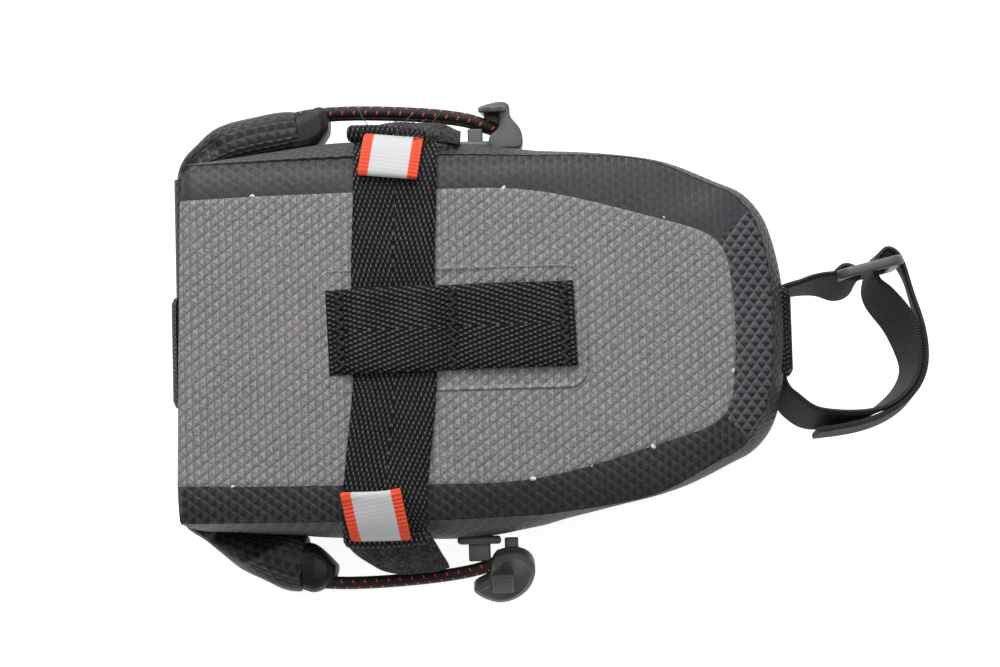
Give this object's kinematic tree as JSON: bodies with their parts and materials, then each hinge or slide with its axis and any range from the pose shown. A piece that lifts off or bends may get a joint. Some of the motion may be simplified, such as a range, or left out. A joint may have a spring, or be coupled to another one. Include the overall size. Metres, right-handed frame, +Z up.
{
  "type": "saddle bag",
  "caption": "Wedge-shaped roll-top saddle bag with a rail strap under a top keeper, elastic side cords on hooks and a hook-and-loop seatpost strap with a ring.",
  "frame": {"origin": "on the underside of the flat base, on the bag's middle plane, below the middle of the top panel", "axes": "+X forward towards the seatpost, +Y to the rider's left, +Z up towards the saddle"},
  "size_m": [0.2235, 0.1492, 0.0696],
  "materials": {
    "grey_fabric": "laminated cloth with a raised triangle emboss",
    "black_fabric": "laminated cloth with a raised triangle emboss",
    "webbing": "herringbone webbing",
    "thread": "heavy sewing thread",
    "loop_tape": "hook and loop tape",
    "tongue_tape": "satin tape",
    "reflective_tab": "reflective ribbon with orange edges",
    "moulded_plastic": "fine moulded texture",
    "elastic_cord": "braided sheath with orange tracers",
    "stiffener": "plain sheet"
  },
  "bodies": {
    "bag": {"side_gusset": "black_fabric", "top_panel": "grey_fabric", "top_border": "black_fabric", "base_panel": "black_fabric", "base_board": "stiffener", "strap_patch": "grey_fabric", "keeper_webbing": "webbing", "keeper_bartack_rear": "thread", "keeper_bartack_middle": "thread", "keeper_bartack_front": "thread", "rail_strap_centre": "webbing", "hook_anchor_left": "moulded_plastic", "hook_anchor_right": "moulded_plastic", "front_keeper": "webbing", "front_keeper_tack_upper": "thread", "front_keeper_tack_lower": "thread", "seatpost_strap_base": "loop_tape"},
    "closure": {"rear_panel": "black_fabric", "collar_roll": "black_fabric", "collar_stiffener": "stiffener", "light_loop": "webbing"},
    "end_left": {"collar_end_left": "black_fabric", "end_tongue_left": "tongue_tape"},
    "end_right": {"collar_end_right": "black_fabric", "end_tongue_right": "tongue_tape"},
    "hook_left": {"elastic_cord_left": "elastic_cord", "cord_hook_left": "moulded_plastic"},
    "hook_right": {"elastic_cord_right": "elastic_cord", "cord_hook_right": "moulded_plastic"},
    "rail_left": {"rail_strap_left": "webbing", "loop_tape_left": "loop_tape"},
    "rail_right": {"rail_strap_right": "webbing", "loop_tape_right": "loop_tape"},
    "tab_left": {"pull_tab_left": "reflective_tab"},
    "tab_right": {"pull_tab_right": "reflective_tab"},
    "post_loop": {"seatpost_strap_lead": "loop_tape", "seatpost_strap_loop": "loop_tape", "strap_ring": "moulded_plastic"},
    "post_tail": {"seatpost_strap_tail": "loop_tape"}
  },
  "joints": [
    {"name": "closure_open", "type": "hinge", "parent": "bag", "child": "closure", "pos_m": [-0.0872, 0, 0.0646], "axis": [0, 1, 0], "range_deg": [0, 80]},
    {"name": "end_left_spread", "type": "hinge", "parent": "closure", "child": "end_left", "pos_m": [-0.0874, 0.054, 0.029], "axis": [0, 0, 1], "range_deg": [0, 80]},
    {"name": "end_right_spread", "type": "hinge", "parent": "closure", "child": "end_right", "pos_m": [-0.0874, -0.054, 0.029], "axis": [0, 0, -1], "range_deg": [0, 80]},
    {"name": "hook_left_release", "type": "hinge", "parent": "end_left", "child": "hook_left", "pos_m": [-0.045, 0.0714, 0.036], "axis": [0, 0, 1], "range_deg": [0, 60]},
    {"name": "hook_right_release", "type": "hinge", "parent": "end_right", "child": "hook_right", "pos_m": [-0.045, -0.0714, 0.036], "axis": [0, 0, -1], "range_deg": [0, 60]},
    {"name": "rail_strap_left_lift", "type": "hinge", "parent": "bag", "child": "rail_left", "pos_m": [-0.0245, 0.01485, 0.06765], "axis": [1, 0, 0], "range_deg": [0, 75]},
    {"name": "rail_strap_right_lift", "type": "hinge", "parent": "bag", "child": "rail_right", "pos_m": [-0.0245, -0.01085, 0.06765], "axis": [-1, 0, 0], "range_deg": [0, 75]},
    {"name": "pull_tab_left_flip", "type": "hinge", "parent": "rail_left", "child": "tab_left", "pos_m": [-0.023, 0.0577, 0.0646], "axis": [-1, 0, 0], "range_deg": [0, 120]},
    {"name": "pull_tab_right_flip", "type": "hinge", "parent": "rail_right", "child": "tab_right", "pos_m": [-0.023, -0.0577, 0.0646], "axis": [1, 0, 0], "range_deg": [0, 120]},
    {"name": "seatpost_strap_swing", "type": "hinge", "parent": "bag", "child": "post_loop", "pos_m": [0.0915, 0, 0.04], "axis": [0, 1, 0], "range_deg": [-15, 15]},
    {"name": "strap_tail_peel", "type": "hinge", "parent": "post_loop", "child": "post_tail", "pos_m": [0.1226, 0.0198, 0.04], "axis": [0, 0, 1], "range_deg": [0, 60]}
  ],
  "couplings": [
    {"joint": "end_left_spread", "follows": "closure_open", "ratio": 1},
    {"joint": "end_right_spread", "follows": "closure_open", "ratio": 1}
  ]
}
